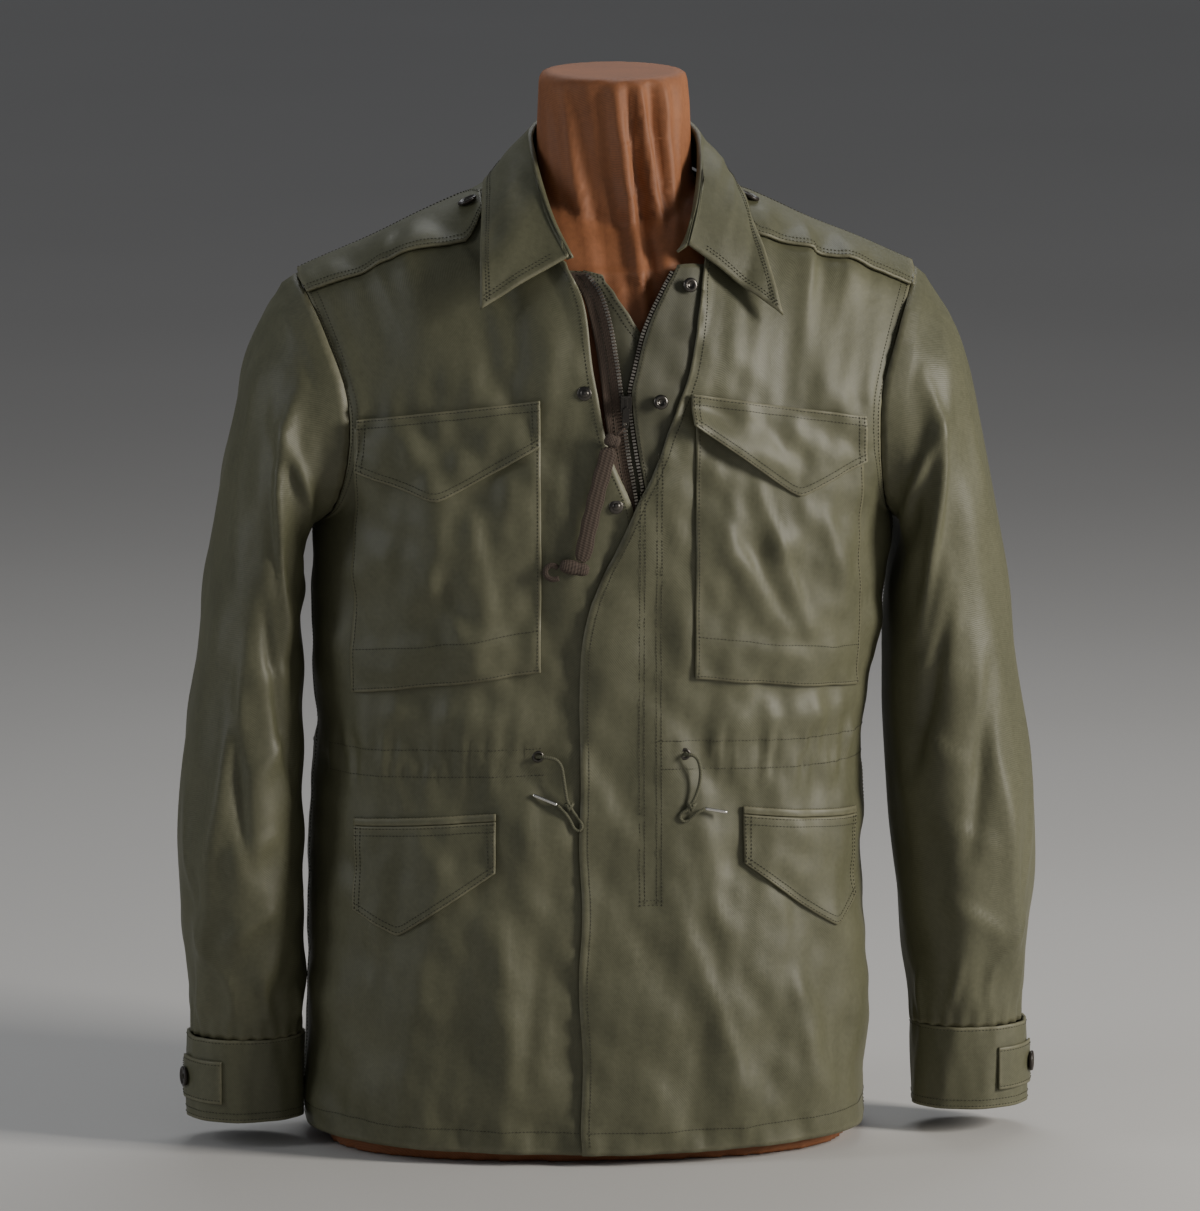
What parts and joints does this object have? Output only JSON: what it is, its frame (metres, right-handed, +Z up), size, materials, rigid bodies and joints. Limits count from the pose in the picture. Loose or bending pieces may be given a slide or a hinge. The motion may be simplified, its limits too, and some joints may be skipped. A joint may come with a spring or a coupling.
{
  "type": "field jacket on a limbless dress form",
  "caption": "Waist-length olive cotton field jacket with zip, storm fly, shoulder straps and flapped pockets, worn open at the neck on a limbless dress form.",
  "frame": {"origin": "middle of the flat base of the dress form", "axes": "+Z up through the neck, -Y out of the front of the jacket, +X towards the viewer's right (the wearer's left)"},
  "size_m": [0.678, 0.2813, 0.843],
  "materials": {
    "sateen": "olive green cotton sateen, soft sheen",
    "cover": "brown woven form cover",
    "tape": "brown woven cotton tape",
    "steel": "dark worn metal",
    "button": "dark brown satin",
    "cord": "braided olive cord",
    "aglet": "bright tube"
  },
  "bodies": {
    "jacket_on_form": {"back": "sateen", "front_left": "sateen", "front_right": "sateen", "sleeve_left": "sateen", "sleeve_right": "sateen", "collar": "sateen", "cuff_left": "sateen", "cuff_right": "sateen", "cuff_tab_left": "sateen", "cuff_tab_right": "sateen", "shoulder_strap_left": "sateen", "shoulder_strap_right": "sateen", "zip_facing": "sateen", "zip_guard": "sateen", "chest_pocket_left": "sateen", "chest_pocket_right": "sateen", "chest_flap_left": "sateen", "chest_flap_right": "sateen", "hip_flap_left": "sateen", "hip_flap_right": "sateen", "hip_welt_left": "sateen", "hip_welt_right": "sateen", "dress_form": "cover", "zip_tape_left": "tape", "zip_tape_right": "tape", "snap_stud_upper": "steel", "snap_stud_lower": "steel", "snap_socket_upper": "steel", "snap_socket_lower": "steel", "zip_slider": "steel", "eyelet_left": "steel", "eyelet_right": "steel", "cuff_button_left": "button", "cuff_button_right": "button", "shoulder_button_left": "button", "shoulder_button_right": "button", "drawcord_left": "cord", "drawcord_right": "cord", "drawcord_tail_left": "cord", "drawcord_tail_right": "cord", "drawcord_knot_left": "cord", "drawcord_knot_right": "cord", "drawcord_aglet_left": "aglet", "drawcord_aglet_right": "aglet"},
    "zip_pull": {"zip_tab": "steel", "pull_lace_tie": "tape", "pull_lace": "tape", "pull_lace_end": "tape", "pull_lace_knot_upper": "tape", "pull_lace_knot_lower": "tape"}
  },
  "joints": [
    {"name": "zip_tab", "type": "hinge", "parent": "jacket_on_form", "child": "zip_pull", "pos_m": [0.0035, -0.1408, 0.5992], "axis": [-1, 0, 0], "range_deg": [0, 90]}
  ]
}
